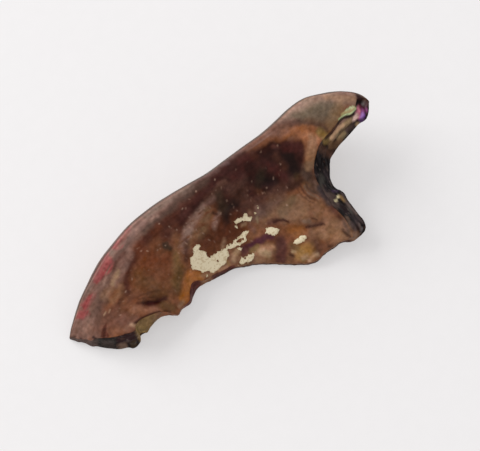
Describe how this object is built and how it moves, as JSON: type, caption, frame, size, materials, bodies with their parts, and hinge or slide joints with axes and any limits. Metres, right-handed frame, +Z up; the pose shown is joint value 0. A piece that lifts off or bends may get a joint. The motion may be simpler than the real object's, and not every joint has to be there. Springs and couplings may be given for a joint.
{
  "type": "fossil dinosaur tooth fragment",
  "caption": "Curved glossy brown fossil tooth shard with a long rolled ridge, a hooked beak, a notch and a low lobe at one end, lying on its broken inner side.",
  "frame": {"origin": "middle of the footprint, on the surface that the shard rests on", "axes": "+X along the shard from the root break to the beak tip, +Y towards the ridge's hidden flank, +Z up"},
  "size_m": [0.03, 0.0115, 0.0059],
  "materials": {
    "fossil_enamel": "glossy mineralised enamel, mid to dark brown with mauve and tan streaks, near-black broken faces and cream mineral crust"
  },
  "bodies": {
    "root": {"tooth_fragment": "fossil_enamel"}
  },
  "joints": []
}
